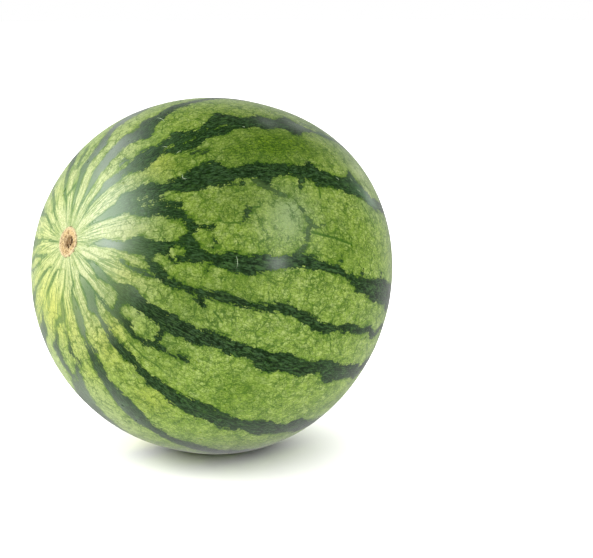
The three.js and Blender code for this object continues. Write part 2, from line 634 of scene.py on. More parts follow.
STRIPES = (
    Stripe("shoulder", (
        (8, -55.5, -52), (11, -57.5, -50), (15, -59, -49), (20, -60, -48), (23, -60.5, -43.5),
        (26, -60, -45), (30, -59, -46), (33, -58, -46), (36, -56.5, -50), (40, -56, -50.5),
        (44, -58, -48.5), (48, -58, -47.5), (53, -57, -46), (57, -56.2, -51), (60, -55.8, -50.5),
        (62.5, -55.6, -50), (65, -56, -50), (67.5, -58.5, -50), (70, -55, -50.2),
        (75, -54.2, -50.4), (80, -54.6, -50.8), (83.5, -55.8, -48.3), (86, -56.6, -50.6),
        (90, -56.2, -51.7), (95, -56.7, -52), (99, -56.7, -47.5), (101, -56.8, -50),
        (105, -57.2, -52.2), (109, -57.6, -53.6), (115, -56.7, -52.7), (120, -56, -50)),
        home=-54, width=6.5),
    Stripe("middle", (
        (8, -87, -85.5), (10, -87.3, -84.3), (13, -88, -80.5), (15, -88.3, -78), (17, -87.5, -79.5),
        (20, -87.3, -80.5), (23, -88.3, -81), (25, -88.7, -78.5), (29, -88.7, -77.5),
        (33, -88.7, -80), (35, -86.5, -80), (38, -86.3, -80), (42, -88, -79), (44, -87.5, -76.5),
        (47, -86.7, -81.3), (50, -86.7, -83), (54, -87.7, -83.3), (57.5, -88, -81),
        (60, -88.2, -82.3), (63, -88, -82), (66, -87, -81), (70, -85, -81.3), (75, -84, -80),
        (78, -82.5, -78.8), (84, -83, -79.5), (91, -82.5, -80), (95, -84, -82), (100, -85.8, -82),
        (105, -87, -81.7), (110, -88, -80.5), (116, -88, -80), (120, -88, -80.5)),
        home=-83, width=7),
    Stripe("fine", (
        (22, -96, -94.5), (23, -96.7, -94), (25, -97.6, -96.4), (30, -98.3, -96.3),
        (35, -99, -96.7), (40, -99.6, -97), (45, -99, -97), (50, -99.6, -96.7), (55, -99, -96.3),
        (60, -99, -96), (65, -99, -96)), home=-98, width=2.5),
    Stripe("lower", (
        (7, -112.3, -111), (10, -112.8, -109.5), (13, -113.6, -105.5), (15, -116.5, -106.5),
        (17, -118.3, -107.5), (20, -116.7, -111), (24, -115.5, -111), (26, -116.7, -109),
        (29, -119, -107.5), (31, -117.5, -108.3), (37, -117.5, -111), (45, -117.5, -110),
        (50, -118, -111), (55, -117.5, -111), (60, -115, -110), (66, -116, -110.5)),
        home=-112, width=6.5),
    Stripe("under", (
        (10, -137, -135), (12, -139, -132.5), (14, -140.6, -129.5), (17, -141.8, -128),
        (19, -142.3, -129), (20, -143.8, -131), (22, -145, -134), (24, -141.8, -137),
        (25, -140.6, -138.3), (27, -140.8, -138), (30, -141.7, -137.5), (33.5, -143.2, -138.5),
        (40, -142.8, -137.5), (44, -141.5, -138), (50, -143.4, -139), (56, -142.5, -137.5),
        (62, -144, -138)), home=-139, width=7),
    Stripe("belly", (
        (12, -154, -152), (14, -159, -156.5), (16, -161, -156), (18, -161.5, -154),
        (21, -162.7, -153.3), (24, -162.2, -154), (26, -160.8, -156), (30, -161.3, -157.8),
        (33, -161.8, -157.2), (35, -161.8, -158), (38, -162.8, -157), (40, -163.6, -157.5),
        (45, -163.4, -158.5), (50, -164, -157), (53, -165, -156.7), (60, -165, -157),
        (65, -164, -159), (70, -163, -159), (75, -162.5, -159.5), (80, -162.5, -158),
        (85, -163, -157.5)), home=-161, width=6),
    Stripe("hazy", (
        (38, -178, -175.5), (41, -179.7, -176.3), (43, -184, -177), (45, -187.5, -177.3),
        (48, -189, -178.2), (52, -192, -179.3), (56, -194, -180), (60, -195, -180.5),
        (70, -193, -181)), home=-185, width=9, strength=0.75),
    Stripe("far_low", (
        (26, 149, 151), (29, 148, 153), (31, 148, 156), (33, 146.7, 156), (36, 144, 152),
        (40, 143, 151)), home=148, width=8, strength=0.8),
    Stripe("far_1", (
        (9, 141, 145), (11, 135, 139.5), (13, 132.5, 137), (15, 131, 135.6), (18, 130, 134),
        (21, 129.2, 132.6), (25, 128.4, 131.6), (30, 128, 132), (35, 127, 132)), home=128, width=6),
    Stripe("far_2", (
        (30, 109, 112), (36, 108, 115)), home=112, width=8.5),
    Stripe("far_3", (
        (5, 93, 100), (9, 90.5, 98), (12, 90, 92.8), (16, 90, 92.8), (18, 92.5, 98), (30, 93, 99)),
        home=95, width=4.5, strength=0.8),
    Stripe("far_4", (
        (9, 73, 77), (12, 71.5, 75), (17, 69.5, 72.8), (20, 69, 72.3), (22, 70.5, 74), (25, 72, 76),
        (31, 72, 77)), home=74, width=8),
    Stripe("far_5", (
        (10, 58.5, 61), (14, 56.5, 59.5), (17, 53.5, 58.5), (20, 53, 58), (23, 54.5, 58),
        (25, 56, 59), (33, 57, 60)), home=57, width=4.5, strength=0.75),
    Stripe("far_6", (
        (12, 29, 32), (15, 31.5, 36.5), (17, 34, 39), (20, 35, 40), (28, 36, 41), (38, 37, 43)),
        home=37, width=8),
    Stripe("crest", (
        (10, 9, 16), (15, 9.5, 17.5), (18, 11, 17), (22, 11.5, 18.5), (25, 10.7, 19.5), (28, 9, 17),
        (31, 8, 15.5), (33, 6.5, 14.5), (35, 9, 15), (40, 11.5, 16.5), (47, 10, 18)),
        home=15, width=7.5),
    Stripe("top", (
        (10, -10, -4), (15, -11, -3.5), (18, -10.5, -2), (22, -10, 0), (27, -11, -2),
        (33, -10.5, -2), (36, -13, -2.5), (38, -15, -3.5), (40, -18, -5.5), (43, -16.5, -5),
        (45, -12.5, -3), (50, -11, -5), (55, -9, -3), (60, -8.3, -3.3), (65, -8, -4),
        (70, -7.5, -4.5)), home=-7, width=4.5),
    Stripe("near_top", (
        (7, -31, -28), (10, -30, -24), (13, -29, -22.5), (18, -30, -24), (20, -31, -21.7),
        (25, -31.7, -24), (28, -31.7, -26), (30, -34, -25), (32, -36.7, -26), (35, -36, -24.6),
        (38, -35, -25), (40, -33.3, -26.7), (45, -37.5, -26.7), (47, -37.8, -24), (50, -38, -26.7),
        (54, -35, -29), (60, -35, -24), (63.5, -33.5, -21.7), (70, -34, -28.3), (75, -35, -26.7),
        (80, -34, -29), (83, -36.7, -27.5), (86, -36, -25), (88, -33.3, -28.5), (91, -33, -30.5),
        (105, -32.5, -30.3)), home=-31, width=6.5),
)

MARKS = (
    Mark(((25, -61, 2.6), (28, -62, 4.6), (31, -63.5, 6.0), (34, -63.9, 5.7), (38, -66.3, 7.0),
          (41, -68, 5.2), (43, -71, 4.8), (44.8, -74, 6.0))),
    Mark(((31, -59.5, 4.0), (34.5, -60.5, 4.5), (38, -62, 4.0), (40.5, -63.2, 2.0))),
    Mark(((44.8, -73.5, 3.8), (47, -73.2, 3.0), (50.5, -73.2, 1.6))),
    Mark(((44, -75.5, 3.8), (42.5, -77.5, 3.4), (41.5, -80, 3.4))),
    Mark(((50, -57.2, 2.4), (60, -57, 2.2)), 0.8),
    Mark(((31.5, -89, 3.6), (32.5, -92, 4.6), (34, -94, 6.4), (38, -95.5, 5.0))),
    Mark(((50, -98.5, 3.0), (51.5, -101.5, 4.2), (53.5, -103, 2.4))),
    Mark(((49.8, -81, 1.6), (51, -81, 1.6)), 0.9),
    Mark(((51.3, -78.5, 1.3), (52, -78.5, 1.3)), 0.9),
    Mark(((50.5, -87, 2.0), (50.7, -89.5, 2.0))),
    Mark(((38.5, -87, 2.4), (39.5, -89.5, 2.2))),
    Mark(((27.8, -117, 6.0), (28.3, -122, 4.8), (29, -128, 4.8))),
    Mark(((44, -117, 3.2), (44.5, -122, 3.0), (44.8, -127, 3.0))),
    Mark(((20, -129.5, 2.4), (28, -129, 3.2), (31, -127.6, 3.0), (35, -128, 3.2), (38, -129.5, 3.2),
          (42, -128, 3.1), (45, -126.5, 3.0), (50, -125, 2.6), (56, -124, 2.0))),
    Mark(((33, -126.5, 3.6), (35, -126, 3.6))),
    Mark(((12, -152, 2.0), (13, -155, 2.4), (14, -158, 2.6))),
    Mark(((33, -157.5, 2.6), (34.5, -155.8, 2.2)), 0.7),
    Mark(((15.5, -177, 1.4), (18, -178.5, 3.6), (20.5, -177.5, 4.4), (22.7, -178.5, 3.2),
          (24, -186, 1.8), (26, -189.5, 2.2), (30, -190.5, 2.4), (32.5, -192, 4.0),
          (35.5, -193.5, 9.0), (38.5, -191.5, 8.0), (42, -188, 6.0), (45, -185, 5.0)), 0.8),
    Mark(((22.7, -177, 1.6), (24.5, -177, 1.6), (28, -177, 1.2), (31.5, -176.5, 1.2),
          (33.5, -178.5, 3.2), (35.5, -175, 3.8), (36.5, -172.5, 3.2), (38, -176, 3.0),
          (40.5, -178, 2.8)), 0.85),
    Mark(((8, 170, 1.0), (8.2, 162, 1.5), (10, 158, 2.0), (13, 155.5, 2.6), (17, 152.5, 1.9),
          (20, 151, 1.0)), 0.8),
    Mark(((25.5, 26, 1.2), (30, 26, 2.6), (35.5, 27, 1.4)), 0.5),
    Mark(((11.5, 114, 2.8), (15.5, 114, 2.4))),
    Mark(((16, 118.5, 1.9), (18, 116.7, 1.9), (26, 115.4, 1.9), (31, 111.7, 2.2)), 0.8),
    Mark(((15, 111, 1.9), (18, 109, 1.9), (22, 106, 1.9), (28, 107.5, 2.2)), 0.8),
    Mark(((15, 33, 2.4), (16, 26, 2.1), (18, 19, 2.2)), 0.8),
    Mark(((59, -71, 1.8), (60.2, -68.8, 4.6), (60.8, -66.8, 4.2)), 0.8),
    Mark(((77.5, -65, 1.6), (79, -67, 2.4), (80.3, -70, 4.4), (79.8, -73, 3.2), (78.7, -76, 2.4),
          (77.3, -79, 3.0)), 0.6),
    Mark(((80.5, -70, 3.6), (83, -70.2, 2.6), (85, -69.5, 1.0)), 0.5),
    Mark(((78.8, -55, 3.2), (78, -58.3, 1.2)), 0.85),
    Mark(((84.5, -54.5, 4.2), (84.4, -57, 2.0)), 0.85),
    Mark(((90, -28, 3.4), (97, -27.5, 5.0), (108, -28, 4.5)), 0.25),
    Mark(((64, -56.5, 4.6), (67, -58.5, 4.2), (70, -60.5, 2.8), (73, -61.5, 1.6)), 0.55),
    Mark(((48, -40.5, 2.1), (53, -40.5, 2.0)), 0.8),
    Mark(((27, -20.5, 2.1), (30, -20.5, 2.0)), 0.8),
    Mark(((91, -79.5, 1.8), (91.4, -77.3, 0.8))),
    Mark(((101, -81.5, 2.6), (101.4, -79, 1.0))),
    Mark(((113, -80.5, 2.6), (113, -78, 1.0))),
)

# Thin olive lines on the ground: their strength is not read.
LINES = (
    Mark(((81, -71.8, 2.0), (86, -72.2, 1.5), (92.5, -72.6, 1.8), (95, -72.8, 1.2))),
    Mark(((94.8, -71, 1.0), (95.5, -75.5, 1.0))),
    Mark(((84.4, -56, 1.8), (84.5, -60.8, 1.2))),
    Mark(((78, -57.5, 1.4), (77.6, -60.5, 0.8))),
    Mark(((61, -66.2, 1.8), (64.5, -65.6, 0.9))),
    Mark(((61, -68, 1.8), (63.8, -68.2, 1.0))),
    Mark(((59.3, -71, 1.4), (55.5, -71.7, 1.0), (52, -70.5, 0.9))),
    Mark(((38, -134, 1.0), (44, -134.5, 1.3), (49, -133.5, 1.0), (55, -134, 1.2))),
    Mark(((22, 149, 1.2), (27, 146, 1.6), (33, 142, 1.6), (36, 139, 1.0))),
    Mark(((101, -58.5, 1.0), (104, -61.5, 0.9))),
    Mark(((56, -103, 1.4), (60, -106, 1.0))),
    Mark(((70, -92, 1.0), (72, -97, 1.3), (77, -100, 0.9))),
    Mark(((88, -98, 1.2), (94, -101, 1.2), (97, -106, 0.9))),
    Mark(((100, 12, 1.2), (106, 9, 1.4), (112, 10, 0.9))),
    Mark(((95, 60, 1.0), (99, 64, 1.4), (106, 65, 0.9))),
    Mark(((112, 118, 1.2), (118, 122, 1.2))),
)

# Light islands inside stripes.
ISLANDS = (
    Mark(((39.4, -84.2, 5.0), (41.6, -84, 5.0))),
    Mark(((37.3, -56.3, 2.4), (39.5, -57.3, 4.0), (41.5, -58.8, 2.6))),
    Mark(((28, -54.5, 1.6), (31, -54, 1.6))),
    Mark(((38, -1, 2.4), (39.5, -5, 2.2))),
    Mark(((42, -181, 0.8), (45, -183.5, 1.2), (47, -187, 0.8))),
    Mark(((40.5, -32, 1.6), (44, -31, 1.6))),
    Mark(((47.5, -33.5, 1.0), (50, -32.5, 1.6), (52, -32, 1.0))),
    Mark(((52.5, -30.5, 0.9), (55, -30.8, 1.3), (57, -30, 0.8))),
    Mark(((48.5, -29.5, 0.8), (50.5, -29, 1.1))),
    Mark(((58.5, -31.5, 0.7), (61, -30.6, 1.1), (63, -30.8, 0.7))),
)

# Soft patches of the ground: (72, -43) lies between the two stripes on the near shoulder. Some of
# them paint light and shade, as said above each tint.
WASHES = {
    # Deep green: most are the rind's own deep patches. (62, -92), (50, -103) and (49, -126) are
    # painted shadow, darkening the ground low on the near side as if something beside the fruit
    # shaded it.
    Tint.DEEP: (
        Wash(72, -43, 15, 0.95), Wash(61, -44, 11, 0.6), Wash(83, -41, 12, 0.7),
        Wash(91, -76, 12, 0.3), Wash(62, -92, 12, 0.35), Wash(50, -103, 15, 0.3),
        Wash(49, -126, 14, 0.3), Wash(44, -43, 9, 0.3), Wash(76, -128, 18, 0.4),
        Wash(54, -167, 16, 0.16), Wash(60, -154, 18, 0.13), Wash(58, -65, 9, 0.14),
        Wash(58, -65, 9, 0.2),
    ),
    # Pale: painted sheen, except (96, 160), which is the rind's real pale spot where it lay. (74,
    # -68) and (74, -64) are a painted highlight in the middle of the near side. The others are
    # painted haze near the upper rim and at the shoulder stripe's far end.
    Tint.PALE: (
        Wash(74, -68, 15, 0.7), Wash(106, -44, 18, 0.7), Wash(106, -56, 13, 0.8),
        Wash(97, -30, 10, 0.8), Wash(100, -22, 20, 0.5), Wash(74, -64, 9, 0.3),
        Wash(96, 160, 30, 0.6),
    ),
    # Cream: partly the rind's own cream. (71, -83), (108, -55), (105, -46) and those on the upper
    # left near (32, -2) are painted sheen, a bluish-white veil. Those on the lower left, near (50,
    # -173), are painted light, lightening the rind as if more light fell there.
    Tint.CREAM: (
        Wash(27, -149, 14, 0.35), Wash(18, -86, 10, 0.7), Wash(71, -83, 6, 0.5),
        Wash(77, -31, 7, 0.3), Wash(88, -31, 9, 0.35), Wash(32, -105, 8, 0.2),
        Wash(108, -55, 8, 0.5), Wash(105, -46, 11, 0.35), Wash(50, -173, 20, 0.4),
        Wash(64, -172, 18, 0.35), Wash(46, 156, 20, 0.5), Wash(32, -2, 18, 0.7),
        Wash(48, 12, 20, 0.5), Wash(22, -18, 12, 0.5),
    ),
    Tint.YELLOW: (
        Wash(18, 160, 20, 0.5), Wash(29, 143, 20, 0.5), Wash(25, -176, 18, 0.45),
        Wash(34, -145, 16, 0.45), Wash(37, -38, 10, 0.3), Wash(56, -148, 14, 0.25),
        Wash(32, -134, 9, 0.25), Wash(40, -171, 14, 0.2), Wash(26, -104, 14, 0.25),
        Wash(20, 100, 20, 0.4), Wash(20, 50, 12, 0.3), Wash(93, 163, 34, 0.85),
    ),
}


class StripePattern:
    """Works out, for every point of the skin, how deep inside or far outside the stripes it is."""

    GIRTH_RADIUS = 116.0  # mm, for turning angles on the fruit into lengths
    GRID = np.linspace(0.0, 180.0, 721)  # degrees at which a stripe's edges are worked out
    SCAR_REACH = 4.2  # degrees, where the stripes that come from the scar begin
    TAPER_FROM = 12.0  # degrees, within which a stripe's first place counts as come from the scar
    BUDDING = 0.25  # of its width at that place, its half-width where it comes from the scar
    STEM_REACH = 171.0  # degrees, where the stripes run out in the dimple
    RUN = 6.0  # degrees between the chosen places of the part that grows by rule
    HOMING = 30.0  # degrees over which that part takes its home and its usual width
    WANDER = 0.9  # degrees by which it strays from its home
    SWELLING = (0.6, 1.35)  # times its usual width, at least and at most
    SEED = 100  # of the first stripe, and one more for each stripe after it
    NONE = -60.0  # mm, outside everything
    FULL = 12.0  # mm, past which a place counts as no deeper inside
    BLEND = 1.5  # mm over which the strengths of two stripes that meet run together

    def __init__(
        self,
        stripes: tuple[Stripe, ...],
        marks: tuple[Mark, ...],
        lines: tuple[Mark, ...],
        islands: tuple[Mark, ...],
        washes: dict[Tint, tuple[Wash, ...]],
    ) -> None:
        """Keeps the stripes, marks and lines beside them, islands in them, and the washes."""
        self.stripes = stripes
        self.marks = marks
        self.lines = lines
        self.islands = islands
        self.washes = washes

    def lay_on(self, skin: bpy.types.Object) -> None:
        """Stores "stripe" and "line" (mm, positive inside), "strength" and the tints, by point.

        Args:
            skin: the skin, with its "chart".
        """
        chart = chart_of(skin)
        polar = np.degrees(np.arccos(np.clip(chart[:, 2], -1, 1)))
        around = np.degrees(np.arctan2(chart[:, 1], chart[:, 0]))
        depths = []
        for seed, stripe in enumerate(self.stripes, self.SEED):
            depths.append(self._band(stripe, polar, around, np.random.default_rng(seed)))
            log.info("stripe %s covers %d points", stripe.name, (depths[-1] > 0).sum())
        depths = np.array([*depths, *(self._stroke(mark, chart) for mark in self.marks)])
        strengths = np.array([dark.strength for dark in (*self.stripes, *self.marks)])
        weights = np.exp(np.clip(depths, self.NONE, self.FULL) / self.BLEND)
        strength = (weights * strengths[:, None]).sum(0) / weights.sum(0)
        depth = depths.max(0)
        for island in self.islands:
            depth = np.minimum(depth, -self._stroke(island, chart))
        add_attribute(skin, "stripe", depth)
        add_attribute(skin, "strength", strength)
        lines = [self._stroke(line, chart) for line in self.lines]
        add_attribute(skin, "line", np.max(lines, axis=0))
        for tint, washes in self.washes.items():
            add_attribute(skin, tint.value, self._washed(washes, chart))

    def _washed(self, washes: tuple[Wash, ...], chart: np.ndarray) -> np.ndarray:
        """Adds up washes of one tint.

        Args:
            washes: the washes.
            chart: the points' places on the unit ball.

        Returns:
            The share of the tint at each point.
        """
        total = np.zeros(len(chart))
        for wash in washes:
            middle = np.array(chart_spot(wash.polar, wash.around))
            distance = np.linalg.norm(chart - middle, axis=1) * self.GIRTH_RADIUS
            total += wash.amount * np.exp(-((distance / wash.radius) ** 2))
        return np.clip(total, 0, 1)

    def _band(
        self, stripe: Stripe, polar: np.ndarray, around: np.ndarray, rng: np.random.Generator
    ) -> np.ndarray:
        """Measures one stripe, whose way from its last place to the stem goes by rule.

        Args:
            stripe: the stripe.
            polar: each point's degrees from the blossom end.
            around: each point's degrees round the fruit.
            rng: what the rule draws its numbers from.

        Returns:
            Each point's depth inside the stripe in millimetres, less than 0 outside.
        """
        places, low, high = (np.array(column, float) for column in zip(*stripe.edges))
        if places[0] <= self.TAPER_FROM:
            middle, half = (low[0] + high[0]) / 2, (high[0] - low[0]) * self.BUDDING
            places = np.concatenate([[self.SCAR_REACH], places])
            low = np.concatenate([[middle - half], low])
            high = np.concatenate([[middle + half], high])
        start = places[0]
        grown = np.arange(places[-1] + self.RUN, self.STEM_REACH, self.RUN)
        middle, wide = (low[-1] + high[-1]) / 2, high[-1] - low[-1]
        share = np.clip((grown - places[-1]) / self.HOMING, 0, 1)
        stray = rng.normal(0, self.WANDER, len(grown))
        home = middle + (stripe.home - middle) * share + stray
        size = (wide + (stripe.width - wide) * share) * rng.uniform(*self.SWELLING, len(grown))
        places = np.concatenate([places, grown, [180.0]])
        low = np.concatenate([low, home - size / 2, [stripe.home - stripe.width / 2]])
        high = np.concatenate([high, home + size / 2, [stripe.home + stripe.width / 2]])
        low_here = np.interp(polar, self.GRID, np.interp(self.GRID, places, low))
        high_here = np.interp(polar, self.GRID, np.interp(self.GRID, places, high))
        centre = (low_here + high_here) / 2
        off = (around - centre + 180) % 360 - 180
        along = self.GIRTH_RADIUS * np.radians(1)
        girth = along * np.sin(np.radians(polar))
        across = ((high_here - low_here) / 2 - np.abs(off)) * girth
        ends = np.minimum(polar - start, self.STEM_REACH - polar) * along
        return np.maximum(np.minimum(across, ends), self.NONE)

    def _stroke(self, mark: Mark, chart: np.ndarray) -> np.ndarray:
        """Measures one stroke.

        Args:
            mark: the stroke.
            chart: the points' places on the unit ball.

        Returns:
            Each point's depth inside the stroke in millimetres, less than 0 outside.
        """
        spots = [np.array(chart_spot(polar, around)) for polar, around, _ in mark.places]
        widths = [width for _, _, width in mark.places]
        best = np.full(len(chart), self.NONE)
        for start, end, wide, wide_end in zip(spots, spots[1:], widths, widths[1:]):
            leg = end - start
            share = np.clip((chart - start) @ leg / (leg @ leg), 0, 1)
            distance = np.linalg.norm(chart - start - share[:, None] * leg, axis=1)
            half = (wide + (wide_end - wide) * share) / 2
            best = np.maximum(best, half - distance * self.GIRTH_RADIUS)
        return best


# ---------- Scars ----------


@dataclass(frozen=True)
class Pore:
    """A hole or stain in the cork, in millimetres and degrees in the scar's own plane."""

    distance: float
    around: float
    radius: float
    depth: float


@dataclass(frozen=True)
class ScarSize:
    """The sizes of a corky scar, in millimetres.

    Attributes:
        pole: degrees from the blossom end to the scar's middle, which is 0 or 180.
        radius: out to where the cork meets the green skin.
        lip: height of the low rim just inside that edge.
        lip_width: half the width of the rim.
        ridge: height of the wrinkles.
        ridge_size: usual distance between wrinkles.
        body: how deep the cork goes into the fruit.
        seed: where in the noise its wrinkles are taken from.
        pores: its holes.
    """

    pole: float
    radius: float
    lip: float
    lip_width: float
    ridge: float
    ridge_size: float
    body: float
    seed: float
    pores: tuple[Pore, ...]


BLOSSOM_SCAR = ScarSize(
    pole=0, radius=9.7, lip=0.16, lip_width=0.8, ridge=0.42, ridge_size=1.5, body=1.7, seed=3.0,
    pores=(
        Pore(1.9, 178, 0.62, 1.1), Pore(3.3, -154, 0.66, 1.2), Pore(3.1, -116, 0.56, 1.0),
        Pore(3.7, -48, 0.75, 0.5), Pore(3.6, -68, 0.85, 0.6), Pore(3.7, -88, 0.75, 0.5),
        Pore(4.3, -36, 0.6, 0.4), Pore(0.8, 32, 0.5, 0.35), Pore(2.6, -70, 0.45, 0.3),
    ),
)
STEM_SCAR = ScarSize(
    pole=180, radius=6.4, lip=0.2, lip_width=0.8, ridge=0.4, ridge_size=1.1, body=1.7, seed=11.0,
    pores=(
        Pore(0.0, 0, 1.1, 0.9), Pore(2.6, 20, 0.4, 0.5), Pore(2.7, 80, 0.4, 0.5),
        Pore(2.5, 140, 0.4, 0.5), Pore(2.7, 200, 0.4, 0.5), Pore(2.6, 262, 0.4, 0.5),
        Pore(2.6, 318, 0.4, 0.5),
    ),
)


class CorkScar:
    """A disc of dry cork, let into the skin where the flower or the stem came off."""

    RINGS = 40
    SPOKES = 128
    TUCK = 0.35  # mm by which the edge dips under the skin
    EDGE = 0.9  # mm in from the edge over which it dips
    FOOT = 0.8  # the disc's underside, as a share of its width
    SEAT_MARGIN = 1.2  # mm of skin that stays up under the disc's edge
    SEAT_GAP = 0.1  # mm between the disc and its seat
    LIFT = 0.08  # mm by which the cork stands over the skin, between its wrinkles
    LIP_IN = 1.2  # mm from the edge in to the rim's crest
    FIBRE, LUMP = 0.55, 0.45  # shares of the wrinkles' height that run outwards, and that don't
    FIBRE_SPREAD = 2.2  # mm out in the noise at 1 mm from the middle, and more with its root
    LUMP_NOISE = (0.8, 2.1, 3)  # fractal increment, lacunarity and octaves
    PORE_WALL = 4  # power that makes a pore's wall steep

    def __init__(self, size: ScarSize, places: SkinPlaces, ovoid: Ovoid) -> None:
        """Keeps the scar's sizes and the ovoid's, and finds the scar's middle and its way out."""
        self.size = size
        self.places = places
        self.ovoid = ovoid
        self.middle, _ = places.at(size.pole, 0)
        opposite, _ = places.at(180 - size.pole, 0)
        self.out = (self.middle - opposite).normalized()

    def build(self, name: str, material: bpy.types.Material) -> bpy.types.Object:
        """Builds the disc on the skin.

        Args:
            name: the object's name.
            material: its cork.

        Returns:
            The object, with the point attributes "pit", "crest" and "heart".
        """
        points, heights, pits, hearts = [], [], [], []
        for ring in range(self.RINGS + 1):
            distance = self.size.radius * ring / self.RINGS
            for spoke in range(self.SPOKES if ring else 1):
                around = 360 * spoke / self.SPOKES
                skin, _ = self.places.at(self._polar(distance), around)
                height, pit = self._height(distance, around)
                points.append(skin + self.out * height * MILLIMETRE)
                heights.append(height)
                pits.append(pit)
                hearts.append(1 - distance / self.size.radius)
        edge = points[-self.SPOKES :]
        deep = self.out * (self.size.body - self.SEAT_GAP) * MILLIMETRE
        points += [self.middle + (spot - self.middle) * self.FOOT - deep for spot in edge]
        points.append(self.middle - deep)
        made = add_mesh(name, points, self._faces(), material)
        hidden = [0.0] * (self.SPOKES + 1)
        for field, values in (("pit", pits), ("crest", heights), ("heart", hearts)):
            add_attribute(made, field, values + hidden)
        return made

    def seat(self, skin: bpy.types.Object) -> None:
        """Sinks the skin under the disc, so that the cork's own pits are open.

        Args:
            skin: the skin, with its "chart".
        """
        turn = 1 if self.size.pole == 0 else -1
        from_pole = abs(self.size.pole - self._polar(self.size.radius - self.SEAT_MARGIN))
        reach = math.radians(from_pole)
        for vertex, (x, y, z) in zip(skin.data.vertices, chart_of(skin)):
            if math.atan2(math.hypot(x, y), z * turn) < reach:
                vertex.co -= self.out * self.size.body * MILLIMETRE

    def _polar(self, distance: float) -> float:
        """Finds the ring of the skin that a ring of the scar lies on.

        Args:
            distance: millimetres from the scar's middle.

        Returns:
            Degrees from the blossom end.
        """
        swell = 1 - self.ovoid.stem_swell * math.cos(math.radians(self.size.pole))
        share = distance * MILLIMETRE / (self.ovoid.diameter / 2 * swell)
        return abs(self.size.pole - math.degrees(math.asin(share ** (self.ovoid.fullness / 2))))

    def _height(self, distance: float, around: float) -> tuple[float, float]:
        """Shapes the cork.

        Args:
            distance: millimetres from the scar's middle.
            around: degrees round it.

        Returns:
            How far the cork stands out of the skin there in millimetres, and its share of a pit.
        """
        size = self.size
        angle = math.radians(around)
        x, y = distance * math.cos(angle), distance * math.sin(angle)
        spread = Vector((math.cos(angle), math.sin(angle), 0)) * distance ** 0.5 * self.FIBRE_SPREAD
        fibre = noise.noise(spread / size.ridge_size + Vector((0, 0, size.seed)))
        lump = noise.fractal(Vector((x, y, size.seed)) / size.ridge_size, *self.LUMP_NOISE)
        height = self.LIFT + size.ridge * (self.FIBRE * fibre + self.LUMP * lump)
        from_lip = (distance - size.radius + self.LIP_IN) / size.lip_width
        height += size.lip * math.exp(-(from_lip**2))
        pit = 0.0
        for pore in size.pores:
            a = math.radians(pore.around)
            gap = math.hypot(x - pore.distance * math.cos(a), y - pore.distance * math.sin(a))
            share = math.exp(-((gap / pore.radius) ** self.PORE_WALL))
            height -= pore.depth * share
            pit = max(pit, share * min(1.0, pore.depth))
        edge = min(1.0, max(0.0, (size.radius - distance) / self.EDGE))
        return height * edge - self.TUCK * (1 - edge) ** 2, pit

    def _faces(self) -> list[tuple[int, ...]]:
        """Closes the disc underneath, with all its faces turned outwards.

        Returns:
            The points of each face.
        """
        faces = []
        turn = 1 if self.size.pole == 0 else -1
        last = 1 + self.RINGS * self.SPOKES
        foot = last + self.SPOKES
        for spoke in range(self.SPOKES):
            after = (spoke + 1) % self.SPOKES
            faces.append((0, 1 + spoke, 1 + after)[::turn])
            for ring in range(self.RINGS):
                inner, outer = 1 + ring * self.SPOKES, 1 + (ring + 1) * self.SPOKES
                quad = (inner + spoke, outer + spoke, outer + after, inner + after)
                faces.append(quad[::turn])
            faces.append((last + spoke, foot, last + after)[::turn])
        return faces


@dataclass(frozen=True)
class Scratch:
    """A healed scratch: a pale thread of cork on the rind, between two places in degrees."""

    start: tuple[float, float]
    end: tuple[float, float]
    bow: float = 0.0
    width: float = 0.7


SCRATCHES = (
    Scratch((49, -7), (48.5, -14.5), 0.5),
    Scratch((41, -29), (42.5, -31.5), 0.2),
    Scratch((43.5, -37), (45.5, -36.5), 0.3),
    Scratch((43, -48.5), (44, -51.5), -0.7, 0.8),
    Scratch((58, -82.5), (59, -87), 0.3, 0.6),
    Scratch((67.2, -32.6), (67.8, -33.4), 0.0, 0.9),
    Scratch((91.5, -52), (92.5, -53), 0.1, 0.8),
    Scratch((100, -54), (102, -54.5), 0.2, 0.8),
    Scratch((98, -50.6), (99, -51.4), 0.0, 0.8),
    Scratch((118, 40), (121, 44), 0.6),
    Scratch((84, 96), (87, 99), -0.4),
    Scratch((132, -110), (131, -104), 0.5, 0.6),
)


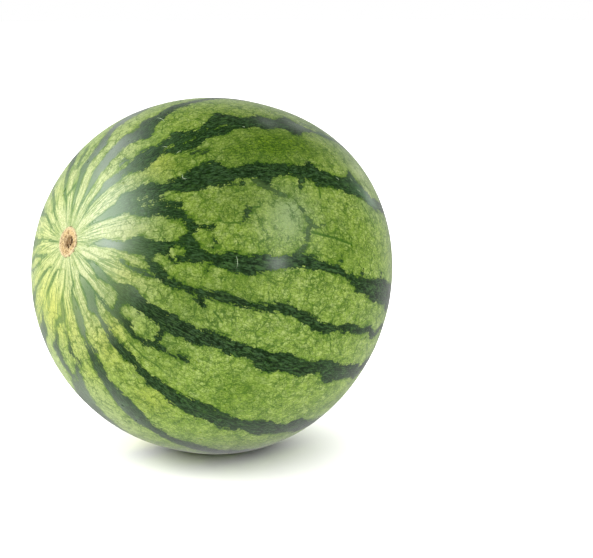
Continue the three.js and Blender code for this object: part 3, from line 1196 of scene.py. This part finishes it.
class HealedScratches:
    """Builds every healed scratch as a low thread that tapers at both ends."""

    STEPS = 12
    CORNERS = 4  # points in a ring
    HEIGHT = 0.16  # of a scratch's width
    SUNK = 0.1  # mm
    TIP = 0.06  # of a scratch's width, left at its ends
    TAPER = 0.6  # power of the sine that gives the width; less is blunter

    def __init__(self, scratches: tuple[Scratch, ...], places: SkinPlaces) -> None:
        """Keeps the scratches, and where the skin is."""
        self.scratches = scratches
        self.places = places

    def build(self, name: str, material: bpy.types.Material) -> bpy.types.Object:
        """Builds them as one object.

        Args:
            name: the object's name.
            material: its cork.

        Returns:
            The object.
        """
        points, faces = [], []
        for scratch in self.scratches:
            self._thread(scratch, points, faces)
        return add_mesh(name, points, faces, material)

    def _thread(
        self, scratch: Scratch, points: list[Vector], faces: list[tuple[int, ...]]
    ) -> None:
        """Adds one thread: rings of four points, drawn together at both ends.

        Args:
            scratch: where it is, and how wide.
            points: all points so far, which it adds to.
            faces: all faces so far, which it adds to.
        """
        first = len(points)
        spine = self._spine(scratch)
        for step, (spot, out) in enumerate(spine):
            before, after = spine[max(step - 1, 0)][0], spine[min(step + 1, self.STEPS)][0]
            side = out.cross(after - before).normalized()
            taper = self.TIP + math.sin(math.pi * step / self.STEPS) ** self.TAPER
            half = scratch.width / 2 * MILLIMETRE * taper
            low = spot - out * self.SUNK * MILLIMETRE
            top = spot + out * half * 2 * self.HEIGHT
            points += [low - side * half, top, low + side * half, low - out * half]
        for step in range(self.STEPS):
            ring = first + self.CORNERS * step
            after = ring + self.CORNERS
            for i in range(self.CORNERS):
                j = (i + 1) % self.CORNERS
                faces.append((ring + i, after + i, after + j, ring + j))
        faces.append(tuple(range(first, first + self.CORNERS)))
        faces.append(tuple(range(first + self.CORNERS * self.STEPS, len(points)))[::-1])

    def _spine(self, scratch: Scratch) -> list[tuple[Vector, Vector]]:
        """Finds the line of one scratch, bowed sideways.

        Args:
            scratch: where it is.

        Returns:
            The places along it, each with the way out of the skin.
        """
        (polar, around), (polar_end, around_end) = scratch.start, scratch.end
        spine = []
        for step in range(self.STEPS + 1):
            share = step / self.STEPS
            swing = scratch.bow * math.sin(math.pi * share)
            polar_here = polar + (polar_end - polar) * share + swing
            around_here = around + (around_end - around) * share + swing
            spine.append(self.places.at(polar_here, around_here))
        return spine


# ---------- The finishes ----------


class Run(Enum):
    """The ways in which a rind's markings run."""

    EVEN = "alike in every direction, in mm"
    ALONG = "drawn out from the blossom end to the stem, in mm at the girth"
    RAYS = "in narrow rays from the blossom end, in rays"


@dataclass(frozen=True)
class Grain:
    """One scale of mottling: a noise whose usual size is given in the units of its run."""

    name: str
    run: Run
    size: float
    detail: float = 2.0
    roughness: float = 0.55
    swirl: float = 0.0


@dataclass(frozen=True)
class Net:
    """A net of veins: the usual size of its cells and how far its lines wander, in mm."""

    name: str
    size: float
    wander: float


@dataclass(frozen=True)
class Mask:
    """Where something shows: 0 where a field is at low, and 1 where it is at high."""

    name: str
    field: str
    low: float
    high: float


@dataclass(frozen=True)
class Coat:
    """One colour, sRGB hex, over the coats before it, as far as all its masks let it show."""

    colour: str
    masks: tuple[str, ...]
    amount: float = 1.0


@dataclass(frozen=True)
class WaxyRind:
    """Living watermelon rind under its own wax.

    To the eye it is satin, with a soft sheen. The ground is light green, clouded and netted with
    darker green and finely speckled; it turns to cream near the blossom end, with thin green rays.
    The stripes are dark, bluish green with ragged edges, and fibrous within.
    """

    name: str = "waxy_watermelon_rind"
    ground: str = "97af47"
    stripe: str = "173306"
    roughness: float = 0.31
    gloss_swing: float = 0.04  # by which the clouds are glossier and duller
    gloss_clouds: tuple[float, float] = (0.3, 0.7)  # of their noise, at its glossiest and dullest
    ior: float = 1.45
    relief: float = 0.00014  # m
    ray_count: float = 12.0
    ray_length: float = 3.0  # changes along a ray, a radian
    draw_out: float = 3.2  # how many times longer than wide the drawn-out markings are
    speckled: tuple[float, float] = (0.84, 1.16)  # lightness of the darkest and lightest specks
    speck_noise: tuple[float, float] = (0.25, 0.75)  # of their noise, where they are these
    noise_mean: float = 0.5
    wander_often: float = 1.6  # wanderings of a net's line, a cell
    wander_detail: float = 5.0
    edge_bias: float = -0.25  # mm by which every stripe is wider, or narrower below 0
    thinned: float = 0.9  # mm, about, by which the edges draw in close to the scar
    fine_from: float = 30.0  # degrees from the blossom end within which the edges turn finer
    fine_to: float = 6.0  # degrees within which they are at their finest
    crisp: float = 2.4  # how many times sharper the edges are there
    calm: float = 0.25  # and the share of their raggedness that is left

    # Real specks and threads are down to 0.5 mm: these are drawn as coarse as they need to show.
    grains: tuple[Grain, ...] = (
        Grain("patch", Run.EVEN, 30, 3),
        Grain("cloud", Run.EVEN, 7, 3),
        Grain("lobe", Run.EVEN, 8, 4, 0.6),
        Grain("clump", Run.EVEN, 11, 2),
        Grain("fibre", Run.ALONG, 2.2, 3, 0.6),
        Grain("thread", Run.ALONG, 0.9, 2, 0.6),
        Grain("speck", Run.EVEN, 1.7, 2, 0.6, 1.6),
        Grain("curl", Run.EVEN, 4.0, 4, 0.6),
        Grain("worm", Run.EVEN, 2.6, 3, 0.55),
        Grain("gap", Run.EVEN, 9, 3),
        Grain("ray", Run.RAYS, 1.0, 3, 0.6),
    )
    ridges: tuple[str, ...] = ("curl", "worm", "ray")
    nets: tuple[Net, ...] = (Net("net", 8.5, 7.0), Net("vein", 2.5, 3.2))
    # What makes the stripes' edges ragged: a field, its mean, and by how many mm it moves them.
    swings: tuple[tuple[str, float, float], ...] = (
        ("lobe", 0.5, 4.5),
        ("fibre", 0.5, 7.5),
        ("thread", 0.5, 3.0),
        ("speck", 0.5, 4.0),
        ("net", 0.24, -2.0),
        ("vein", 0.2, -2.2),
    )
    masks: tuple[Mask, ...] = (
        Mask("tone", "patch", 0.38, 0.62),
        Mask("clouded", "cloud", 0.48, 0.64),
        Mask("sunny", "cloud", 0.5, 0.36),
        Mask("bloom", "polar", 43, 12),
        Mask("off_bloom", "polar", 12, 32),
        Mask("netted", "net", 0.08, 0.02),
        Mask("unbroken", "gap", 0.4, 0.54),
        Mask("near", "stripe", -12.0, -1.0),
        Mask("beside", "edge", -5.0, 0.0),
        Mask("veined", "vein", 0.14, 0.02),
        Mask("curled", "curl_ridge", 0.04, 0.005),
        Mask("wormed", "worm_ridge", 0.055, 0.01),
        Mask("dashed", "cloud", 0.42, 0.54),
        Mask("lined", "line", -0.4, 0.4),
        Mask("blotted", "curl", 0.52, 0.63),
        Mask("paled", "curl", 0.48, 0.37),
        Mask("mottled", "speck", 0.5, 0.58),
        Mask("flecked", "speck", 0.5, 0.42),
        Mask("rayed", "ray_ridge", 0.05, 0.012),
        Mask("margin", "edge", -3.0, 0.2),
        Mask("clumped", "clump", 0.42, 0.6),
        Mask("inside", "edge", -0.5, 0.35),
        Mask("rim", "edge", 2.2, 0.6),
        Mask("outline", "edge", 1.9, 0.7),
        Mask("fibrous", "thread", 0.52, 0.6),
        Mask("shadowed", "thread", 0.48, 0.4),
        Mask("olive", "fibre", 0.5, 0.66),
        Mask("fade", "polar", 38, 10),
        Mask("vanishing", "polar", 17, 7),
        Mask("weak", "strength", 1.0, 0.0),
    )
    ground_coats: tuple[Coat, ...] = (
        Coat("76932f", ("tone",), 0.35),
        Coat("6b8a2e", ("clouded",), 0.22),
        Coat("a2b45c", ("sunny",), 0.22),
        Coat("5f8412", ("blotted",), 0.4),
        Coat("a9ba72", ("paled",), 0.45),
        Coat("b4c47a", ("fibrous",), 0.3),
        Coat("4c7010", ("shadowed",), 0.35),
        Coat("b8c876", ("flecked",), 0.12),
        Coat("4b7004", ("mottled",), 0.24),
        Coat("426606", ("veined",), 0.5),
        # deep: the rind's deep green, and painted shadow where the deep washes lie low on the near
        # side
        Coat("436800", ("deep",), 0.9),
        Coat("86a818", ("deep", "fibrous"), 0.8),
        Coat("264a00", ("deep", "shadowed"), 0.8),
        # pale: painted sheen that greys the ground, and the real pale spot under the fruit
        Coat("8aa163", ("pale",)),
        Coat("c0c693", ("bloom",)),
        # cream: the rind's cream, and painted light where the washes stand for sheen and brighter
        # light
        Coat("bcc88a", ("cream",)),
        Coat("babd46", ("yellow",)),
        Coat("35590a", ("wormed", "dashed", "off_bloom"), 0.55),
        Coat("3c620a", ("netted", "unbroken", "off_bloom"), 0.62),
        Coat("3c620c", ("netted", "near", "off_bloom"), 0.3),
        Coat("305604", ("curled", "unbroken", "off_bloom"), 0.6),
        Coat("6d8f10", ("deep", "flecked"), 0.5),
        Coat("1f3f00", ("deep", "mottled"), 0.5),
        Coat("325c06", ("lined",), 0.9),
        Coat("5f8040", ("rayed", "bloom"), 0.85),
        Coat("77903c", ("wormed", "bloom"), 0.5),
        Coat("6c8c16", ("beside", "clumped"), 0.4),
        Coat("365c08", ("margin", "clumped", "off_bloom"), 0.85),
        Coat("587a42", ("margin", "bloom"), 0.4),
    )
    stripe_coats: tuple[Coat, ...] = (
        Coat("4c7044", ("fibrous",), 0.42),
        Coat("567650", ("flecked",), 0.18),
        Coat("44662a", ("olive",), 0.5),
        Coat("082002", ("shadowed",), 0.9),
        # pale: painted sheen, a bluish lightening of the stripes
        Coat("4f7a4c", ("pale",), 0.6),
        Coat("14320a", ("rim",), 0.75),
        Coat("789268", ("fade",), 0.8),
        Coat("94a23c", ("fade", "yellow"), 0.95),
        Coat("adb886", ("vanishing",), 0.6),
        Coat("456c2c", ("outline", "fade"), 0.85),
        Coat("5f7a38", ("weak",)),
        # cream: painted sheen, a bluish-grey veil over the stripes
        Coat("a4aea4", ("cream",), 0.68),
    )

    def material(self) -> bpy.types.Material:
        """Builds the rind's material.

        Returns:
            The material, which reads the skin's attributes and Object coordinates.
        """
        material, add = new_material(self.name)
        fields = self._fields(add)
        for mask in self.masks:
            reach = (fields[mask.field], mask.low, mask.high)
            fields[mask.name] = add(MAP_RANGE, *reach, interpolation_type="SMOOTHSTEP")
        ground = self._painted(add, fields, self.ground, self.ground_coats)
        stripe = self._painted(add, fields, self.stripe, self.stripe_coats)
        both = add(MIX, fields["inside"], ground, stripe, data_type="RGBA")
        lightness = add(MAP_RANGE, fields["speck"], *self.speck_noise, *self.speckled)
        milder = add(MIX, fields["calm"], 1.0, lightness)
        duller = (self.roughness - self.gloss_swing, self.roughness + self.gloss_swing)
        heights = add(MATH, fields["cloud"], fields["speck"], operation="ADD")
        surface = {
            "Base Color": add(VECTOR, both, milder, operation="SCALE"),
            "Roughness": add(MAP_RANGE, fields["cloud"], *self.gloss_clouds, *duller),
            "IOR": self.ior,
            "Normal": add("ShaderNodeBump", named={"Height": heights, "Distance": self.relief}),
        }
        shader = add("ShaderNodeBsdfPrincipled", named=surface)
        add("ShaderNodeOutputMaterial", shader)
        return material

    def _runs(self, add: Add, polar: Socket, chart: Socket) -> dict[Run, Socket]:
        """Gives the coordinates of each run of the markings.

        Args:
            add: adds a node to the tree.
            polar: the angle from the blossom end, in radians.
            chart: the place on the unit ball.

        Returns:
            A vector for each run.
        """
        place = add("ShaderNodeTexCoord").node.outputs["Object"]
        level = add(VECTOR, chart, SQUARE_TO_Z, operation="MULTIPLY")
        outward = add(VECTOR, level, operation="NORMALIZE")
        girth = StripePattern.GIRTH_RADIUS
        runs = {Run.EVEN: add(VECTOR, place, 1 / MILLIMETRE, operation="SCALE")}
        for run, across, along in (
            (Run.ALONG, girth, girth / self.draw_out),
            (Run.RAYS, self.ray_count, self.ray_length),
        ):
            lengthwise = add(MATH, polar, along, operation="MULTIPLY")
            runs[run] = beside_axis(add, outward, across, lengthwise)
        return runs

    def _fields(self, add: Add) -> dict[str, Socket]:
        """Gives everything that a mask can be made from.

        Args:
            add: adds a node to the tree.

        Returns:
            The attributes, noises, ridges, nets and distances, by name.
        """
        names = ("stripe", "strength", "line", *(tint.value for tint in Tint))
        fields = {
            name: add("ShaderNodeAttribute", attribute_name=name).node.outputs["Fac"]
            for name in names
        }
        chart = add("ShaderNodeAttribute", attribute_name="chart").node.outputs["Vector"]
        polar = add(MATH, add(SEPARATE, chart).node.outputs["Z"], operation="ARCCOSINE")
        fields["polar"] = add(MATH, polar, operation="DEGREES")
        runs = self._runs(add, polar, chart)
        for grain in self.grains:
            mottling = {
                "Vector": runs[grain.run],
                "Scale": 1 / grain.size,
                "Detail": grain.detail,
                "Roughness": grain.roughness,
                "Distortion": grain.swirl,
            }
            fields[grain.name] = add(NOISE, named=mottling)
        for name in self.ridges:
            off = add(MATH, fields[name], self.noise_mean, operation="SUBTRACT")
            fields[name + "_ridge"] = add(MATH, off, operation="ABSOLUTE")
        for net in self.nets:
            fields[net.name] = self._net(add, runs[Run.EVEN], net)
        near_scar = (fields["polar"], self.fine_to, self.fine_from)
        crisp, calm = (add(MAP_RANGE, *near_scar, at, 1.0) for at in (self.crisp, self.calm))
        ragged = self.edge_bias
        for name, mean, spread in self.swings:
            swing = add(MATH, fields[name], mean, operation="SUBTRACT")
            ragged = add(MATH, swing, spread, ragged, operation="MULTIPLY_ADD")
        wide = add(MATH, ragged, self.thinned, operation="ADD")
        eased = add(MATH, wide, calm, -self.thinned, operation="MULTIPLY_ADD")
        fields["calm"] = calm
        fields["edge"] = add(MATH, fields["stripe"], crisp, eased, operation="MULTIPLY_ADD")
        return fields

    def _net(self, add: Add, place: Socket, net: Net) -> Socket:
        """Draws a net of veins.

        Args:
            add: adds a node to the tree.
            place: the place in millimetres.
            net: its sizes.

        Returns:
            The distance to its nearest line, in shares of its usual cell.
        """
        wandering = {
            "Vector": place,
            "Scale": self.wander_often / net.size,
            "Detail": self.wander_detail,
        }
        wander = add(NOISE, named=wandering).node.outputs["Color"]
        shift = add(VECTOR, wander, net.wander, operation="SCALE")
        moved = add(VECTOR, place, shift, operation="ADD")
        return add("ShaderNodeTexVoronoi", moved, 1 / net.size, feature="DISTANCE_TO_EDGE")

    def _painted(
        self, add: Add, fields: dict[str, Socket], base: str, coats: tuple[Coat, ...]
    ) -> Socket:
        """Lays coats of colour on a base colour.

        Args:
            add: adds a node to the tree.
            fields: the masks, by name.
            base: the first colour.
            coats: the colours over it, in order.

        Returns:
            The colour.
        """
        colour = linear(base)
        for coat in coats:
            share = coat.amount
            for name in coat.masks:
                share = add(MATH, fields[name], share, operation="MULTIPLY")
            colour = add(MIX, share, colour, linear(coat.colour), data_type="RGBA")
        return colour


@dataclass(frozen=True)
class Stain:
    """A colour of the cork, none of it where a field is at low and this much where at high."""

    field: str
    low: float
    high: float
    amount: float
    colour: str


@dataclass(frozen=True)
class DryCork:
    """Wound cork that has dried in the air.

    To the eye it is matte and crumbly, lighter on its crests and brown between them, with no sheen
    at all beside the waxy rind. Its pits are nearly black: partly dark cork, and partly painted
    shade, as they are also sunk in the mesh. Its sizes are in metres.
    """

    name: str
    tan: str
    brown: str
    light: str
    rim: str
    # nearly black: dark cork, and painted shade in the pits
    pit: str = "2a1a0c"
    roughness: float = 0.85
    ior: float = 1.45
    crumb: float = 0.0012  # real crumbs are finer, and too fine to show
    blotch: float = 0.004
    crumb_detail: float = 3.0
    crumb_roughness: float = 0.65
    relief: float = 0.00018
    stains: tuple[Stain, ...] = (
        Stain("blotch", 0.45, 0.62, 0.6, "light"),
        Stain("heart", 0.4, 0.75, 0.8, "brown"),
        Stain("heart", 0.3, 0.1, 0.9, "rim"),
        Stain("crest", 0.05, -0.12, 0.8, "brown"),
        Stain("crumb", 0.54, 0.64, 0.6, "light"),
        Stain("crumb", 0.47, 0.39, 0.75, "brown"),
        # the pits: dark cork, and painted shade over the sunk pores
        Stain("pit", 0.1, 0.5, 1.0, "pit"),
    )

    def material(self) -> bpy.types.Material:
        """Builds the cork's material.

        Returns:
            The material, which reads "pit", "crest", "heart" and Object coordinates.
        """
        material, add = new_material(self.name)
        fields = {
            name: add("ShaderNodeAttribute", attribute_name=name).node.outputs["Fac"]
            for name in ("pit", "crest", "heart")
        }
        crumbly = {
            "Vector": add("ShaderNodeTexCoord").node.outputs["Object"],
            "Detail": self.crumb_detail,
            "Roughness": self.crumb_roughness,
        }
        for name, size in (("crumb", self.crumb), ("blotch", self.blotch)):
            fields[name] = add(NOISE, named={**crumbly, "Scale": 1 / size})
        colour = linear(self.tan)
        for stain in self.stains:
            reach = (fields[stain.field], stain.low, stain.high, 0.0, stain.amount)
            share = add(MAP_RANGE, *reach, interpolation_type="SMOOTHSTEP")
            hue = linear(getattr(self, stain.colour))
            colour = add(MIX, share, colour, hue, data_type="RGBA")
        relief = {"Height": fields["crumb"], "Distance": self.relief}
        surface = {
            "Base Color": colour,
            "Roughness": self.roughness,
            "IOR": self.ior,
            "Normal": add("ShaderNodeBump", named=relief),
        }
        add("ShaderNodeOutputMaterial", add("ShaderNodeBsdfPrincipled", named=surface))
        return material


BLOSSOM_CORK = DryCork(
    "dry_blossom_cork", tan="c0a472", brown="664820", light="d2bc92", rim="ccb890"
)
STEM_CORK = DryCork(
    "dry_stem_cork", tan="9a8560", brown="62482c", light="b9a078", rim="a99a74"
)
SCRATCH_CORK = DryCork(
    "healed_scratch_cork", tan="a4b494", brown="8a9c74", light="b8c6a8", rim="a4b494"
)


# ---------- The studio ----------


def towards(azimuth: float, elevation: float) -> Vector:
    """The direction from the fruit to a thing that stands at this azimuth and elevation.

    Args:
        azimuth: degrees, where 0 is at -Y and 90 at +X.
        elevation: degrees above the floor.

    Returns:
        A unit vector.
    """
    a, e = math.radians(azimuth), math.radians(elevation)
    return Vector((math.sin(a) * math.cos(e), -math.cos(a) * math.cos(e), math.sin(e)))


class Glow(Enum):
    """What a softbox does."""

    FILL = "lights the scene, and isn't mirrored"
    SHEEN = "is only mirrored in the wax"


@dataclass(frozen=True)
class Softbox:
    """An oblong soft light near the fruit, which faces it: degrees, metres and its radiance."""

    name: str
    glow: Glow
    azimuth: float
    elevation: float
    distance: float
    width: float
    height: float
    radiance: float


@dataclass(frozen=True)
class Bank:
    """A wide bank of light, in degrees, so far off that it lights the whole floor alike."""

    name: str
    azimuth: float
    elevation: float
    spread: float
    strength: float
    floor_only: bool = False


@dataclass(frozen=True)
class Studio:
    """A plain pale floor, soft light, and the camera, in metres and degrees.

    What the wax mirrors is a pale backdrop behind the camera, which fades out to the sides.
    """

    camera_azimuth: float = -40.79
    camera_elevation: float = 10.0
    camera_distance: float = 0.99384
    aim: Triple = (0.042951, -0.03747, 0.11111)
    view_width: float = 22.0
    sensor_width: float = 36.0  # mm
    lit_point: Triple = (0.0, 0.0, 0.11)  # the fruit's middle, which the lights face
    floor_size: float = 60.0
    floor_colour: str = "f6f6f4"
    backdrop_light: float = 1.0
    wall_light: float = 0.5
    ceiling_light: float = 0.2
    mirrored_backdrop: float = 0.75
    mirrored_room: float = 0.05
    mirrored_drop: float = 30.0
    mirrored_from: float = 0.2
    mirrored_to: float = 0.8
    sheen_colour: str = "f2f9ff"
    wall_top: float = 6.0
    ceiling_from: float = 30.0
    banks: tuple[Bank, ...] = (
        Bank("overhead_bank", 40, 62, 90, 1.9),
        Bank("floor_bank", 0, 90, 150, 3.9, floor_only=True),
    )
    softboxes: tuple[Softbox, ...] = (
        Softbox("left_fill", Glow.FILL, -146, 27, 1.4, 1.1, 0.9, 8.5),
        Softbox("left_sheen", Glow.SHEEN, -119, 26, 1.3, 0.75, 0.85, 5.0),
        Softbox("left_glint", Glow.SHEEN, -117, 33, 1.3, 0.35, 0.35, 4.5),
        Softbox("left_veil", Glow.SHEEN, -150, 46, 1.3, 0.9, 0.8, 0.8),
        Softbox("right_sheen", Glow.SHEEN, 12, 26, 1.4, 0.55, 0.5, 3.6),
    )

    def build(self) -> None:
        """Builds the floor, the sky, the lights and the camera."""
        floor = self._floor()
        self._sky()
        for bank in self.banks:
            self._bank(bank, floor)
        for softbox in self.softboxes:
            self._softbox(softbox)
        self._camera()
        bpy.context.scene.view_settings.view_transform = "Standard"

    def _floor(self) -> bpy.types.Object:
        """Lays the floor of matte paper, which shows a soft shadow and has no gloss of its own.

        Returns:
            The floor, which the wax doesn't mirror.
        """
        paper, add = new_material("matte_paper_sweep")
        shader = add("ShaderNodeBsdfDiffuse", linear(self.floor_colour))
        add("ShaderNodeOutputMaterial", shader)
        half = self.floor_size / 2
        corners = [(-half, -half, 0), (half, -half, 0), (half, half, 0), (-half, half, 0)]
        floor = add_mesh("floor", corners, [(0, 1, 2, 3)], paper)
        floor.visible_glossy = False
        return floor

    def _sky(self) -> None:
        """Gives the room its even light, and the wax a pale backdrop to mirror."""
        world = bpy.data.worlds.new("studio_room")
        world.use_nodes = True
        world.node_tree.nodes.clear()
        add = partial(add_node, world.node_tree)
        direction = add("ShaderNodeTexCoord")
        height = add(SEPARATE, direction).node.outputs["Z"]
        turn = (math.sin(math.radians(rise)) for rise in (self.wall_top, self.ceiling_from))
        walls = (height, *turn, self.wall_light, self.ceiling_light)
        strength = add(MAP_RANGE, *walls, interpolation_type="SMOOTHSTEP")
        backdrop = -towards(self.camera_azimuth, self.mirrored_drop)
        near = add(VECTOR, direction, backdrop, operation="DOT_PRODUCT")
        reach = (self.mirrored_from, self.mirrored_to, self.mirrored_room, self.mirrored_backdrop)
        mirrored = add(MAP_RANGE, near, *reach, interpolation_type="SMOOTHSTEP")
        path = add("ShaderNodeLightPath").node.outputs
        for seen, light in (("Is Camera Ray", self.backdrop_light), ("Is Glossy Ray", mirrored)):
            strength = add(MIX, path[seen], strength, light)
        add("ShaderNodeOutputWorld", add("ShaderNodeBackground", (1, 1, 1, 1), strength))
        bpy.context.scene.world = world

    def _hang(
        self, light: bpy.types.Light, azimuth: float, elevation: float, distance: float
    ) -> bpy.types.Object:
        """Hangs a light so that it faces the fruit's middle.

        Args:
            light: the light.
            azimuth: where it hangs, in degrees.
            elevation: how high, in degrees.
            distance: how far from the fruit's middle.

        Returns:
            Its object.
        """
        lamp = add_object(light.name, light)
        back = towards(azimuth, elevation)
        lamp.location = Vector(self.lit_point) + back * distance
        lamp.rotation_euler = back.to_track_quat("Z", "Y").to_euler()
        return lamp

    def _bank(self, bank: Bank, floor: bpy.types.Object) -> None:
        """Adds one wide bank of light.

        Args:
            bank: its place and strength.
            floor: what it lights alone, if it is for the floor only.
        """
        light = bpy.data.lights.new(bank.name, "SUN")
        light.angle = math.radians(bank.spread)
        light.energy = bank.strength
        lamp = self._hang(light, bank.azimuth, bank.elevation, 1.0)
        lamp.visible_glossy = False
        if bank.floor_only:
            lit = bpy.data.collections.new(bank.name)
            lit.objects.link(floor)
            lamp.light_linking.receiver_collection = lit

    def _softbox(self, softbox: Softbox) -> None:
        """Adds one soft light.

        Args:
            softbox: its place, size and radiance.
        """
        light = bpy.data.lights.new(softbox.name, "AREA")
        light.shape = "RECTANGLE"
        light.size, light.size_y = softbox.width, softbox.height
        light.energy = softbox.radiance * math.pi * softbox.width * softbox.height
        if softbox.glow is Glow.SHEEN:
            light.color = linear(self.sheen_colour)[:3]
        lamp = self._hang(light, softbox.azimuth, softbox.elevation, softbox.distance)
        lamp.visible_diffuse = softbox.glow is Glow.FILL
        lamp.visible_glossy = softbox.glow is Glow.SHEEN

    def _camera(self) -> None:
        """Sets the camera on its stand."""
        lens = bpy.data.cameras.new("camera")
        lens.sensor_width = self.sensor_width
        lens.lens = self.sensor_width / 2 / math.tan(math.radians(self.view_width) / 2)
        camera = add_object("camera", lens)
        back = towards(self.camera_azimuth, self.camera_elevation)
        camera.location = Vector(self.aim) + back * self.camera_distance
        camera.rotation_euler = (-back).to_track_quat("-Z", "Y").to_euler()
        bpy.context.scene.camera = camera


# ---------- Assembly ----------


def main() -> None:
    """Builds and dresses the fruit, sets up the studio, and reports each piece."""
    logging.basicConfig(level=logging.INFO, format="%(name)s: %(message)s")
    Studio().build()
    ovoid = Ovoid()
    skin = Skin(ovoid, SkinMesh()).build("watermelon_skin", WaxyRind().material())
    StripePattern(STRIPES, MARKS, LINES, ISLANDS, WASHES).lay_on(skin)
    places = SkinPlaces(skin)
    pieces = [skin]
    for size, name, cork in (
        (BLOSSOM_SCAR, "blossom_scar", BLOSSOM_CORK),
        (STEM_SCAR, "stem_scar", STEM_CORK),
    ):
        scar = CorkScar(size, places, ovoid)
        pieces.append(scar.build(name, cork.material()))
        scar.seat(skin)
    healed = HealedScratches(SCRATCHES, places)
    pieces.append(healed.build("healed_scratches", SCRATCH_CORK.material()))
    for piece in pieces:
        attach(piece, "root")
        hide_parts(NODE)
        mesh = piece.data
        log.info("%s: %d points, %d faces", piece.name, len(mesh.vertices), len(mesh.polygons))


if __name__ == "__main__":
    main()
